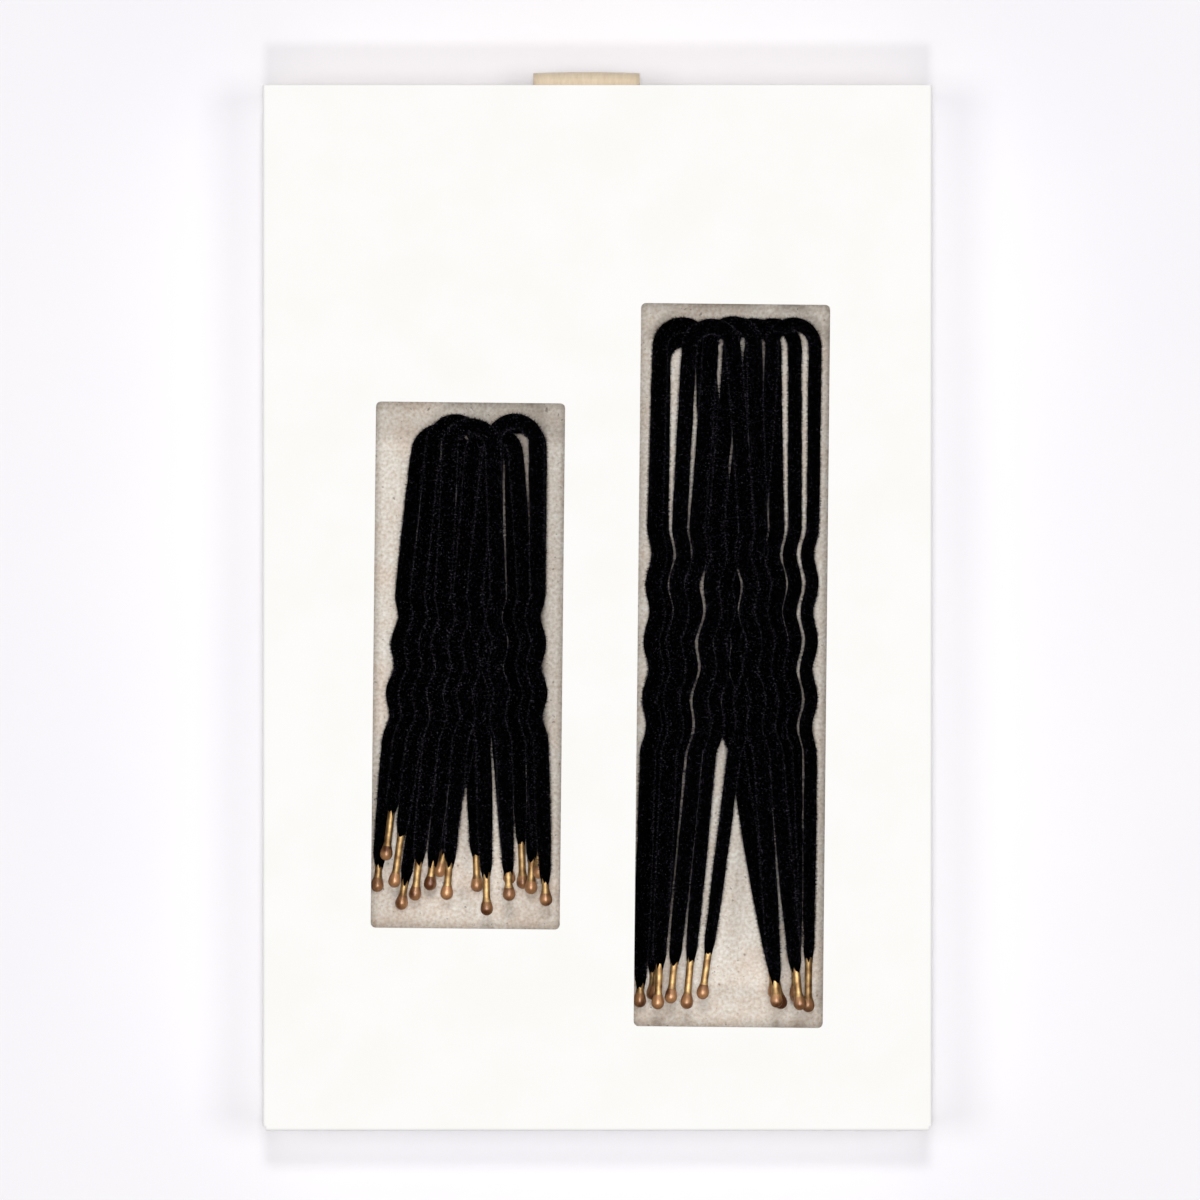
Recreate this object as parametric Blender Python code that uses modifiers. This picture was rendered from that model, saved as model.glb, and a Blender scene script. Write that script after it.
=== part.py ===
"""Slide-out window box with fifteen flocked U hairpins.

A white board sleeve with two windows holds a grey board tray. A die-cut pad in the tray has
one well for seven long pins and one for eight short pins. A ribbon loop pulls the tray out.
All lengths are in metres. The box lies on its back at z = 0, its windows face +Z and the
tray pulls out towards +Y.
"""

import itertools
import math

import bmesh
import bpy
import numpy as np
from mathutils import Vector

# Wire, velvet coat and ball ends, the same on both sizes of pin
WIRE_DIAMETER = 0.00075
FLOCK_DIAMETER = 0.00145
BORE_CLEARANCE = 0.00007
BALL_DIAMETER = 0.00130
ARCH_SPAN = 0.0044
BARE_WIRE = 0.0030
CRIMP_DEPTH = 0.00055
CONTACT_GAP = 0.00010
SAMPLE_STEP = 0.0005

# Lengths of the two sizes, the plain stretches over and under their crimps, and the crimps
LONG_PIN_LENGTH = 0.0702
LONG_PLAIN_TOP = 0.0211
LONG_PLAIN_FOOT = 0.0259
LONG_CRIMPS = 4
SHORT_PIN_LENGTH = 0.0505
SHORT_PLAIN_TOP = 0.0180
SHORT_PLAIN_FOOT = 0.0175
SHORT_CRIMPS = 3

# Windows in the sleeve's front
WINDOW_WIDTH = 0.0189
WINDOW_SLACK = 0.0021
WINDOW_CORNER = 0.0005
WINDOW_SKEW = math.radians(-0.6)
LEFT_MARGIN = 0.0111
BRIDGE = 0.0075
RIGHT_MARGIN = 0.0106
MOUTH_MARGIN = 0.0219
BACK_MARGIN = 0.0104

# Boards and clearances
SLEEVE_BOARD = 0.00045
TRAY_BOARD = 0.00060
FOLD_RADIUS = 0.00035
SLIDE_CLEARANCE = 0.00030
PAD_CLEARANCE = 0.00030
MOUTH_INSET = 0.00020
GLUE_LINE = 0.00010
WELL_REVEAL = 0.0012
WELL_CORNER = 0.0008
HEADROOM = 0.0011
CUT_OVERRUN = 0.0020

# Ribbon pull, a band folded double
RIBBON_WIDTH = 0.0107
RIBBON_LAYER = 0.00035
RIBBON_OFFSET = -0.0011
RIBBON_REACH = 0.00175
RIBBON_ANCHOR_LENGTH = 0.0050
SLIT_CLEARANCE = 0.00030
SLIT_HEIGHT_SHARE = 0.66
RIBBON_DROP_SHARE = 0.66
ROOT_GAP_SHARE = 0.7

# Rounding of the tubes and folds, in counts
TUBE_RESOLUTION = 1
ARCH_STEPS = 6
FOLD_SEGMENTS = 2
RIBBON_TURN_STEPS = 4

# One row per pin, lowest in the heap first. Across the window's width, from its centre line:
# arch, left tip, right tip. Down the pin's length: arch below the row's top line, left tip
# and right tip above its bottom line. Of the bare wire length: left leg, right leg. Last are
# the powers of its way down with which the left leg and the right leg flare.
LONG_PIN_SHARES = (
    (-0.245, -0.415, 0.235, 0.020, 0.016, 0.018, 0.80, 1.15, 1.25, 0.90),
    (-0.260, -0.485, 0.270, 0.000, 0.006, 0.004, 0.55, 1.00, 1.05, 1.75),
    (0.230, -0.235, 0.355, 0.000, 0.006, 0.012, 1.45, 1.50, 0.90, 1.95),
    (0.115, -0.320, 0.350, 0.002, 0.014, 0.018, 1.20, 0.90, 1.10, 1.50),
    (0.335, -0.150, 0.415, 0.000, 0.020, 0.000, 1.40, 1.60, 1.30, 0.90),
    (0.010, -0.405, 0.365, 0.000, 0.016, 0.006, 0.85, 1.15, 1.10, 1.65),
    (-0.105, -0.390, 0.240, 0.004, 0.006, 0.010, 1.25, 0.70, 0.90, 0.90),
)
SHORT_PIN_SHARES = (
    (-0.155, -0.495, 0.040, 0.018, 0.044, 0.044, 0.75, 1.05, 0.85, 0.85),
    (0.110, -0.365, 0.285, 0.044, 0.008, 0.050, 0.80, 1.35, 1.05, 1.30),
    (0.260, -0.160, 0.330, 0.008, 0.074, 0.040, 0.70, 0.95, 1.85, 1.55),
    (-0.075, -0.445, 0.095, 0.000, 0.108, 0.000, 1.45, 1.20, 1.10, 0.85),
    (-0.015, -0.400, 0.215, 0.060, 0.054, 0.062, 1.55, 0.70, 1.15, 1.55),
    (0.135, -0.210, 0.375, 0.024, 0.048, 0.072, 0.75, 0.60, 1.15, 0.85),
    (0.245, -0.120, 0.410, 0.000, 0.030, 0.018, 1.05, 0.70, 0.85, 1.65),
    (0.015, -0.290, 0.215, 0.010, 0.028, 0.030, 1.15, 0.80, 1.45, 1.00),
)

# The ball end turned along the leg: place from its centre and radius, in ball radii
BALL_PROFILE_SHARES = (
    (1.0, 0.62),
    (0.5, 0.90),
    (0.0, 1.00),
    (-0.5, 0.87),
    (-0.92, 0.42),
)
BALL_NECK_SHARE = 1.7

# Plan of the sleeve, worked out from the pins and the margins
WIRE_RADIUS = WIRE_DIAMETER / 2
FLOCK_RADIUS = FLOCK_DIAMETER / 2
BALL_RADIUS = BALL_DIAMETER / 2
LONG_WINDOW_LENGTH = LONG_PIN_LENGTH + WINDOW_SLACK
SHORT_WINDOW_LENGTH = SHORT_PIN_LENGTH + WINDOW_SLACK
SLEEVE_WIDTH = LEFT_MARGIN + WINDOW_WIDTH + BRIDGE + WINDOW_WIDTH + RIGHT_MARGIN
SLEEVE_LENGTH = MOUTH_MARGIN + LONG_WINDOW_LENGTH + BACK_MARGIN
SLEEVE_LEFT = -SLEEVE_WIDTH / 2
SLEEVE_RIGHT = SLEEVE_WIDTH / 2
SLEEVE_BACK = -SLEEVE_LENGTH / 2
SLEEVE_MOUTH = SLEEVE_LENGTH / 2
WINDOW_Y = SLEEVE_BACK + BACK_MARGIN + LONG_WINDOW_LENGTH / 2
SHORT_WINDOW_X = SLEEVE_LEFT + LEFT_MARGIN + WINDOW_WIDTH / 2
LONG_WINDOW_X = SLEEVE_RIGHT - RIGHT_MARGIN - WINDOW_WIDTH / 2

# Plan of the tray, which clears the sleeve's walls and its doubled seam and back
TRAY_LEFT = SLEEVE_LEFT + SLEEVE_BOARD + SLEEVE_BOARD + SLIDE_CLEARANCE
TRAY_RIGHT = SLEEVE_RIGHT - SLEEVE_BOARD - SLIDE_CLEARANCE
TRAY_BACK = SLEEVE_BACK + SLEEVE_BOARD + SLEEVE_BOARD + SLIDE_CLEARANCE
TRAY_FRONT = SLEEVE_MOUTH - MOUTH_INSET
TRAY_END_WALL = TRAY_BOARD + TRAY_BOARD
TRAY_BOTTOM = SLEEVE_BOARD + SLIDE_CLEARANCE
TRAY_FLOOR = TRAY_BOTTOM + TRAY_BOARD
RIBBON_THICKNESS = RIBBON_LAYER + RIBBON_LAYER
PAD_FRONT = TRAY_FRONT - TRAY_END_WALL - GLUE_LINE - RIBBON_THICKNESS - PAD_CLEARANCE


def finish(name, colour, roughness, metallic=0.0):
    """A plain Principled material."""
    material = bpy.data.materials.new(name)
    material.use_nodes = True
    shader = material.node_tree.nodes["Principled BSDF"]
    shader.inputs["Base Color"].default_value = (*colour, 1.0)
    shader.inputs["Roughness"].default_value = roughness
    shader.inputs["Metallic"].default_value = metallic
    return material


def add_mesh(name, bm, location, material, collection, parent=None):
    """Puts a bmesh that was built about its own centre into the scene at its place."""
    mesh = bpy.data.meshes.new(name)
    bm.to_mesh(mesh)
    bm.free()
    piece = bpy.data.objects.new(name, mesh)
    piece.location = location
    piece.parent = parent
    collection.objects.link(piece)
    if material:
        mesh.materials.append(material)
    return piece


def block(low, high):
    """A bmesh cube stretched to a box's size about its own centre, and that centre."""
    size = Vector(high) - Vector(low)
    bm = bmesh.new()
    bmesh.ops.create_cube(bm, size=1.0)
    bmesh.ops.scale(bm, vec=size, verts=bm.verts)
    return bm, Vector(low) + size / 2


def round_edges(bm, radius, wanted):
    """Rounds the edges whose direction and middle the test accepts."""
    edges = [
        edge
        for edge in bm.edges
        if wanted(edge.verts[1].co - edge.verts[0].co, (edge.verts[0].co + edge.verts[1].co) / 2)
    ]
    bmesh.ops.bevel(
        bm, geom=edges, offset=radius, segments=FOLD_SEGMENTS, profile=0.5, affect="EDGES"
    )


def runs_along(direction, axis):
    """True where an edge runs along one axis only."""
    return abs(direction[axis]) > 0 and direction.length <= abs(direction[axis]) * (1 + 1e-6)


def cut(piece, cutter):
    """Takes a hidden cutter out of a piece."""
    cutter.hide_render = True
    cutter.display_type = "WIRE"
    boolean = piece.modifiers.new("cut_" + cutter.name, "BOOLEAN")
    boolean.operation = "DIFFERENCE"
    boolean.solver = "EXACT"
    boolean.object = cutter


def window_cutter(name, x, width, length, corner, skew, low_z, high_z, parent=None):
    """A rounded upright block that cuts a window or a well."""
    bm, centre = block(
        (x - width / 2, WINDOW_Y - length / 2, low_z), (x + width / 2, WINDOW_Y + length / 2, high_z)
    )
    round_edges(bm, corner, lambda direction, middle: runs_along(direction, 2))
    cutter = add_mesh(name, bm, centre, None, cutters, parent)
    cutter.rotation_euler.z = skew
    return cutter


def leg_path(side, arch_x, arch_top, tip, crimp_start, crimp_end, crimps, bare, flare):
    """Centre line of one leg from the arch's foot to the flock's end, and on to the ball.

    The leg flares outwards with a power of its way down. Each crimp draws it in towards the
    other leg and lets it out again.
    """
    foot_x = arch_x + side * ARCH_SPAN / 2
    foot_y = arch_top - FLOCK_RADIUS - ARCH_SPAN / 2
    flock_end = tip[1] + bare

    def flared(y):
        way = (foot_y - y) / (foot_y - tip[1])
        return foot_x + (tip[0] - foot_x) * way**flare

    points = []
    for half in range(2 * crimps + 1):
        y = crimp_start + (crimp_end - crimp_start) * half / (2 * crimps)
        drawn_in = CRIMP_DEPTH if half % 2 else 0.0
        points.append((flared(y) - side * drawn_in, y))
    middle = (crimp_end + flock_end) / 2
    points += [(flared(middle), middle), (flared(flock_end), flock_end)]
    return np.array([(foot_x, foot_y)] + points)


def pin_plan(window_x, length, plain_top, plain_foot, crimps, row):
    """Plan of one pin: its velvet-coated stretch from left to right, and its two tips."""
    arch, left, right, drop, left_rise, right_rise, left_bare, right_bare, *flares = row
    top_line = WINDOW_Y + length / 2
    bottom_line = WINDOW_Y - length / 2
    arch_x = window_x + arch * WINDOW_WIDTH
    arch_top = top_line - drop * length
    centre = np.array([arch_x, arch_top - FLOCK_RADIUS - ARCH_SPAN / 2])
    angles = np.pi * (1 - np.arange(1, ARCH_STEPS) / ARCH_STEPS)
    bow = centre + ARCH_SPAN / 2 * np.column_stack([np.cos(angles), np.sin(angles)])
    legs, tips = [], []
    ends = ((-1, left, left_rise, left_bare), (1, right, right_rise, right_bare))
    for (side, across, rise, bare), flare in zip(ends, flares):
        tip_y = bottom_line + rise * length + BALL_RADIUS
        tip = np.array([window_x + across * WINDOW_WIDTH, tip_y])
        crimping = (top_line - plain_top, bottom_line + plain_foot, crimps)
        legs.append(leg_path(side, arch_x, arch_top, tip, *crimping, bare * BARE_WIRE, flare))
        tips.append(tip)
    coated = np.vstack([legs[0][::-1], bow, legs[1]])
    return coated, tips


def sampled(line):
    """Points at an even step along a plan line."""
    steps = np.linalg.norm(np.diff(line, axis=0), axis=1)
    along = np.concatenate([[0.0], np.cumsum(steps)])
    wanted = np.linspace(0.0, along[-1], int(np.ceil(along[-1] / SAMPLE_STEP)) + 1)
    return np.column_stack([np.interp(wanted, along, line[:, axis]) for axis in (0, 1)])


def rest_plane(points, needed):
    """The plane a + b x + c y on which a dropped pin comes to rest.

    The pin needs a least height at each of its points. It sinks until three of them carry it
    with its centre between them, which is the plane that clears every height and is lowest
    at the centre. Points are taken in until none is too low.
    """
    rows = np.column_stack([np.ones(len(points)), points])
    centre = rows.mean(axis=0)
    carried = [0, int(np.argmax(points[:, 1])), len(points) - 1]
    while True:
        best, plane = np.inf, None
        for three in itertools.combinations(carried, 3):
            corner = rows[list(three)]
            if abs(np.linalg.det(corner)) < SAMPLE_STEP**3:
                continue
            trial = np.linalg.solve(corner, needed[list(three)])
            clears = (rows[carried] @ trial >= needed[carried] - CONTACT_GAP / 100).all()
            if clears and centre @ trial < best:
                best, plane = centre @ trial, trial
        short = needed - rows @ plane
        worst = int(np.argmax(short))
        if short[worst] < CONTACT_GAP / 50 or worst in carried:
            return plane
        carried.append(worst)


def settle(plans):
    """Drops the pins one by one onto the floor and onto each other, and returns their planes."""
    touch = FLOCK_DIAMETER + CONTACT_GAP
    placed, planes = [], []
    for coated, tips in plans:
        line = sampled(np.vstack([tips[0], coated, tips[1]]))
        needed = np.full(len(line), TRAY_FLOOR + CONTACT_GAP + FLOCK_RADIUS)
        for other in placed:
            apart = np.linalg.norm(line[:, None, :] - other[None, :, :2], axis=2)
            lift = np.sqrt(np.clip(touch**2 - apart**2, 0.0, None))
            over = np.where(apart < touch, other[None, :, 2] + lift, 0.0)
            needed = np.maximum(needed, over.max(axis=1))
        plane = rest_plane(line, needed)
        height = np.column_stack([np.ones(len(line)), line]) @ plane
        placed.append(np.column_stack([line, height]))
        planes.append(plane)
    top = max(float(one[:, 2].max()) for one in placed) + FLOCK_RADIUS
    return planes, top


def lifted(plan, plane):
    """Plan points raised onto a pin's plane."""
    plan = np.atleast_2d(plan)
    return np.column_stack([plan, np.column_stack([np.ones(len(plan)), plan]) @ plane])


def tube(name, points, radii, depth, material, filled):
    """A round bar along a line, as a curve whose points carry their radius in bevel depths."""
    curve = bpy.data.curves.new(name, "CURVE")
    curve.dimensions = "3D"
    curve.bevel_depth = depth
    curve.bevel_resolution = TUBE_RESOLUTION
    curve.use_fill_caps = filled
    spline = curve.splines.new("POLY")
    spline.points.add(len(points) - 1)
    for knot, place, radius in zip(spline.points, points, radii):
        knot.co = (*place, 1.0)
        knot.radius = radius / depth
    curve.materials.append(material)
    piece = bpy.data.objects.new(name, curve)
    heap.objects.link(piece)
    return piece


def ball_end(tip, before):
    """Centre line and radii of a ball end, from its neck to its pole."""
    back = (before - tip) / np.linalg.norm(before - tip)
    places = [tip + back * BALL_NECK_SHARE * BALL_RADIUS]
    radii = [WIRE_RADIUS]
    for along, wide in BALL_PROFILE_SHARES:
        places.append(tip + back * along * BALL_RADIUS)
        radii.append(wide * BALL_RADIUS)
    return places, radii


def make_pin(name, plan, plane, parent):
    """One pin: a crimped wire with ball ends, and the velvet coat round its middle."""
    coated = lifted(plan[0], plane)
    left = lifted(plan[1][0], plane)[0]
    right = lifted(plan[1][1], plane)[0]
    left_places, left_radii = ball_end(left, coated[0])
    right_places, right_radii = ball_end(right, coated[-1])
    places = left_places[::-1] + list(coated) + right_places
    radii = left_radii[::-1] + [WIRE_RADIUS] * len(coated) + right_radii
    wire = tube(name + "_wire", places, radii, WIRE_RADIUS, brass, True)
    wire.parent = parent

    coat_radii = [FLOCK_RADIUS] * len(coated)
    guide = tube(name + "_coat_line", coated, coat_radii, FLOCK_RADIUS, velvet, False)
    bpy.context.view_layer.update()
    graph = bpy.context.evaluated_depsgraph_get()
    skin = bpy.data.meshes.new_from_object(guide.evaluated_get(graph))
    skin.name = name + "_flock"
    coat = bpy.data.objects.new(name + "_flock", skin)
    coat.matrix_world = guide.matrix_world
    coat.parent = parent
    heap.objects.link(coat)
    bpy.data.objects.remove(guide, do_unlink=True)
    skin.shade_smooth()
    shell = coat.modifiers.new("coat_thickness", "SOLIDIFY")
    shell.thickness = FLOCK_RADIUS - WIRE_RADIUS - BORE_CLEARANCE
    shell.offset = -1.0
    shell.use_even_offset = True


def ribbon_strip(name, line, origin, parent):
    """A doubled band whose section runs along a line of (y, z) places from its origin."""
    bm = bmesh.new()
    edges = []
    for side in (-1, 1):
        edges.append([bm.verts.new((side * RIBBON_WIDTH / 2, y, z)) for y, z in line])
    for step in range(len(line) - 1):
        bm.faces.new([edges[0][step], edges[1][step], edges[1][step + 1], edges[0][step + 1]])
    strip = add_mesh(name, bm, origin, ribbon, heap, parent)
    doubled = strip.modifiers.new("two_layers", "SOLIDIFY")
    doubled.thickness = RIBBON_THICKNESS
    doubled.offset = 0.0
    doubled.use_even_offset = True
    return strip


def quarter_turn(centre, radius, start, steps):
    """Places on a quarter circle in the (y, z) plane, clockwise from a start angle."""
    angles = start - np.arange(steps + 1) / steps * math.pi / 2
    return [(centre[0] + radius * math.cos(a), centre[1] + radius * math.sin(a)) for a in angles]


for old in list(bpy.data.objects):
    bpy.data.objects.remove(old, do_unlink=True)
heap = bpy.data.collections.new("hairpin_box")
cutters = bpy.data.collections.new("cutters")
bpy.context.scene.collection.children.link(heap)
bpy.context.scene.collection.children.link(cutters)

white_board = finish("white_coated_board", (0.94, 0.93, 0.92), 0.45)
grey_board = finish("recycled_grey_board", (0.56, 0.49, 0.43), 0.9)
velvet = finish("black_flock", (0.008, 0.007, 0.009), 0.95)
brass = finish("brass_wire", (0.75, 0.52, 0.22), 0.25, 1.0)
ribbon = finish("grosgrain_ribbon", (0.68, 0.58, 0.41), 0.8)

tray_slide = bpy.data.objects.new("tray_slide", None)
heap.objects.link(tray_slide)

# The pins come first, because the box is as deep as their two heaps
long_crimping = (LONG_PIN_LENGTH, LONG_PLAIN_TOP, LONG_PLAIN_FOOT, LONG_CRIMPS)
short_crimping = (SHORT_PIN_LENGTH, SHORT_PLAIN_TOP, SHORT_PLAIN_FOOT, SHORT_CRIMPS)
pin_sets = (
    ("long_pin", LONG_WINDOW_X, long_crimping, LONG_PIN_SHARES),
    ("short_pin", SHORT_WINDOW_X, short_crimping, SHORT_PIN_SHARES),
)
heap_top = TRAY_FLOOR
for kind, window_x, crimping, rows in pin_sets:
    plans = [pin_plan(window_x, *crimping, row) for row in rows]
    planes, top = settle(plans)
    heap_top = max(heap_top, top)
    print(f"{kind}: {len(plans)} pins, top {top * 1000:.2f} mm")
    for number, (plan, plane) in enumerate(zip(plans, planes), 1):
        make_pin(f"{kind}_{number}", plan, plane, tray_slide)

# Heights of the tray and the sleeve, from the higher heap
SLEEVE_CEILING = heap_top + HEADROOM
SLEEVE_HEIGHT = SLEEVE_CEILING + SLEEVE_BOARD
TRAY_TOP = SLEEVE_CEILING - SLIDE_CLEARANCE
SLIT_Z = TRAY_BOTTOM + SLIT_HEIGHT_SHARE * (TRAY_TOP - TRAY_BOTTOM)
SLIT_HALF = RIBBON_THICKNESS / 2 + SLIT_CLEARANCE

# Sleeve: a folded tube, its glue seam doubled inside the left wall, its back end closed
bm, centre = block((SLEEVE_LEFT, SLEEVE_BACK, 0.0), (SLEEVE_RIGHT, SLEEVE_MOUTH, SLEEVE_HEIGHT))
round_edges(bm, FOLD_RADIUS, lambda direction, middle: runs_along(direction, 1) or middle.y < 0)
sleeve = add_mesh("sleeve", bm, centre, white_board, heap)
bm, centre = block(
    (SLEEVE_LEFT + SLEEVE_BOARD + SLEEVE_BOARD, SLEEVE_BACK + SLEEVE_BOARD + SLEEVE_BOARD, SLEEVE_BOARD),
    (SLEEVE_RIGHT - SLEEVE_BOARD, SLEEVE_MOUTH + CUT_OVERRUN, SLEEVE_CEILING),
)
cut(sleeve, add_mesh("sleeve_inside", bm, centre, None, cutters))
window_low = SLEEVE_CEILING - SLEEVE_BOARD
window_high = SLEEVE_HEIGHT + CUT_OVERRUN
for name, x, length in (
    ("short_window", SHORT_WINDOW_X, SHORT_WINDOW_LENGTH),
    ("long_window", LONG_WINDOW_X, LONG_WINDOW_LENGTH),
):
    plan = (x, WINDOW_WIDTH, length, WINDOW_CORNER, WINDOW_SKEW)
    cut(sleeve, window_cutter(name, *plan, window_low, window_high))

# Tray: floor and four walls, doubled at the ends, with a slit for the ribbon at the mouth
bm, centre = block((TRAY_LEFT, TRAY_BACK, TRAY_BOTTOM), (TRAY_RIGHT, TRAY_FRONT, TRAY_TOP))
tray = add_mesh("tray", bm, centre, grey_board, heap, tray_slide)
bm, centre = block(
    (TRAY_LEFT + TRAY_BOARD, TRAY_BACK + TRAY_END_WALL, TRAY_FLOOR),
    (TRAY_RIGHT - TRAY_BOARD, TRAY_FRONT - TRAY_END_WALL, TRAY_TOP + CUT_OVERRUN),
)
cut(tray, add_mesh("tray_inside", bm, centre, None, cutters, tray_slide))
slit_half_width = RIBBON_WIDTH / 2 + SLIT_CLEARANCE
bm, centre = block(
    (RIBBON_OFFSET - slit_half_width, TRAY_FRONT - TRAY_END_WALL - CUT_OVERRUN, SLIT_Z - SLIT_HALF),
    (RIBBON_OFFSET + slit_half_width, TRAY_FRONT + CUT_OVERRUN, SLIT_Z + SLIT_HALF),
)
cut(tray, add_mesh("ribbon_slit", bm, centre, None, cutters, tray_slide))

# Pad: a thick board glued in the tray, with a well under each window
pad_left = TRAY_LEFT + TRAY_BOARD + PAD_CLEARANCE
pad_right = TRAY_RIGHT - TRAY_BOARD - PAD_CLEARANCE
pad_back = TRAY_BACK + TRAY_END_WALL + PAD_CLEARANCE
bm, centre = block((pad_left, pad_back, TRAY_FLOOR + GLUE_LINE), (pad_right, PAD_FRONT, TRAY_TOP))
pad = add_mesh("well_pad", bm, centre, grey_board, heap, tray_slide)
for name, x, length in (
    ("short_well", SHORT_WINDOW_X, SHORT_WINDOW_LENGTH),
    ("long_well", LONG_WINDOW_X, LONG_WINDOW_LENGTH),
):
    plan = (x, WINDOW_WIDTH + 2 * WELL_REVEAL, length + 2 * WELL_REVEAL, WELL_CORNER, 0.0)
    low_and_high = (TRAY_FLOOR - CUT_OVERRUN, TRAY_TOP + CUT_OVERRUN)
    cut(pad, window_cutter(name, *plan, *low_and_high, tray_slide))

# Ribbon: its ends glued inside the front wall, its loop hinged where it leaves the slit
inner_face = -TRAY_END_WALL - GLUE_LINE - RIBBON_THICKNESS / 2
turn_radius = RIBBON_THICKNESS
anchor_line = [(inner_face, -RIBBON_ANCHOR_LENGTH)]
turn_centre = (inner_face + turn_radius, -turn_radius)
anchor_line += quarter_turn(turn_centre, turn_radius, math.pi, RIBBON_TURN_STEPS)
anchor_line.append((0.0, 0.0))
ribbon_origin = Vector((RIBBON_OFFSET, TRAY_FRONT, SLIT_Z))
ribbon_strip("ribbon_anchor", anchor_line, ribbon_origin, tray_slide)

ribbon_hinge = bpy.data.objects.new("ribbon_hinge", None)
ribbon_hinge.location = ribbon_origin
ribbon_hinge.parent = tray_slide
heap.objects.link(ribbon_hinge)
root = ROOT_GAP_SHARE * RIBBON_THICKNESS
loop_radius = RIBBON_REACH - RIBBON_THICKNESS / 2 - root
loop_line = quarter_turn((root, -loop_radius), loop_radius, math.pi / 2, RIBBON_TURN_STEPS)
loop_line.append((root + loop_radius, -RIBBON_DROP_SHARE * SLIT_Z))
ribbon_strip("ribbon_loop", loop_line, Vector((0.0, 0.0, 0.0)), ribbon_hinge)

print(
    f"sleeve {SLEEVE_WIDTH * 1000:.2f} x {SLEEVE_LENGTH * 1000:.2f} x {SLEEVE_HEIGHT * 1000:.2f} mm, "
    f"tray floor {TRAY_FLOOR * 1000:.2f}, heap top {heap_top * 1000:.2f}, "
    f"tray top {TRAY_TOP * 1000:.2f}, hinge y {TRAY_FRONT * 1000:.3f} z {SLIT_Z * 1000:.3f}"
)
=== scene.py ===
# %% [markdown]
# # A sliding window box of velvet-coated hairpins
#
# The object is a flat white board sleeve with two windows. A grey tray slides in it, and each
# window looks into a well with a heap of loose U pins: brass-coloured wire, crimped, coated
# with black flock and dipped into lacquer at its ends. A beige ribbon pulls the tray out.
#
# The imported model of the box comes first. Everything after it is worked out around that frame.

import math

import bpy
import numpy as np
from mathutils.geometry import delaunay_2d_cdt
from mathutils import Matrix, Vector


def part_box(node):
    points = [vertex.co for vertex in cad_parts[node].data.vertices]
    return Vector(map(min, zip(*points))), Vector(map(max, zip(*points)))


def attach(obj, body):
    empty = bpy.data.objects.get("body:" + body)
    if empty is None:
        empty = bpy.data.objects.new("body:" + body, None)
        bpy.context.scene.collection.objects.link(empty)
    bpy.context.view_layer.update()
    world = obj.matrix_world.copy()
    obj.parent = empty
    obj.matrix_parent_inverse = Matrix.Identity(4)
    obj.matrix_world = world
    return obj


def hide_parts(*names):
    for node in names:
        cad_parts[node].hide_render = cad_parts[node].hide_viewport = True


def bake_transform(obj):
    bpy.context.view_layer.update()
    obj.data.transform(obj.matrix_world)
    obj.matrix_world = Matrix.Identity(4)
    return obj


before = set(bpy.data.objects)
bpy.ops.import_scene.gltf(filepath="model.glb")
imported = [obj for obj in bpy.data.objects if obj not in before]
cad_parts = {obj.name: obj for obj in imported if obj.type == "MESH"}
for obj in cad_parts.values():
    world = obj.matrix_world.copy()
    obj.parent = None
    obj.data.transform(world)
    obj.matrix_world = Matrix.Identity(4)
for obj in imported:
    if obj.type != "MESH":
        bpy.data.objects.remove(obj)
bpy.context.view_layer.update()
MM = 0.001

# %% [markdown]
# ## Colours and nodes
#
# Colours are written as the sRGB hex codes that a colour picker shows. Blender's shaders want
# linear light, so one function turns them. A second one adds a node to a material with its
# settings, socket values and links, so that each finish below reads as a short list.


# %% Helpers for materials
def linear(code):
    """Linear RGB of a hex colour: c / 12.92 when c is small, else ((c + 0.055) / 1.055) ** 2.4."""
    share = np.array([int(code[place : place + 2], 16) for place in (1, 3, 5)]) / 255
    return np.where(share <= 0.04045, share / 12.92, ((share + 0.055) / 1.055) ** 2.4)


def rgba(code):
    """A hex colour as the four numbers of a colour socket."""
    return (*linear(code), 1.0)


def add_node(tree, kind, values=None, links=None, **settings):
    """Adds a node with its settings, the values of its sockets and the links into them."""
    node = tree.nodes.new(kind)
    for setting, value in settings.items():
        setattr(node, setting, value)
    for socket, value in (values or {}).items():
        node.inputs[socket].default_value = value
    for socket, source in (links or {}).items():
        tree.links.new(source, node.inputs[socket])
    return node


def new_finish(name, colour, roughness, **values):
    """A material with its Principled shader, and the tree and Object coordinates to build on."""
    material = bpy.data.materials.new(name)
    material.use_nodes = True
    tree = material.node_tree
    shader = tree.nodes["Principled BSDF"]
    shader.inputs["Base Color"].default_value = rgba(colour)
    shader.inputs["Roughness"].default_value = roughness
    for socket, value in values.items():
        shader.inputs[socket.replace("_", " ")].default_value = value
    place = add_node(tree, "ShaderNodeTexCoord").outputs["Object"]
    return material, tree, shader, place


def drifting(tree, place, size, dark, light, spread=0.15, detail=3.0, middle=0.5):
    """A colour that drifts between two shades in clouds about one size across.

    It is ramp(noise(place / size)), and the ramp goes from middle - spread to middle + spread.
    Noise lies round 0.5, so a higher middle leaves only few light clouds.
    """
    drift = add_node(
        tree, "ShaderNodeTexNoise", {"Scale": 1 / size, "Detail": detail}, {"Vector": place}
    )
    ramp = add_node(tree, "ShaderNodeValToRGB", links={"Fac": drift.outputs["Fac"]})
    ends = ramp.color_ramp.elements
    ends[0].position, ends[1].position = middle - spread, middle + spread
    ends[0].color, ends[1].color = rgba(dark), rgba(light)
    return ramp.outputs["Color"]


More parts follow.
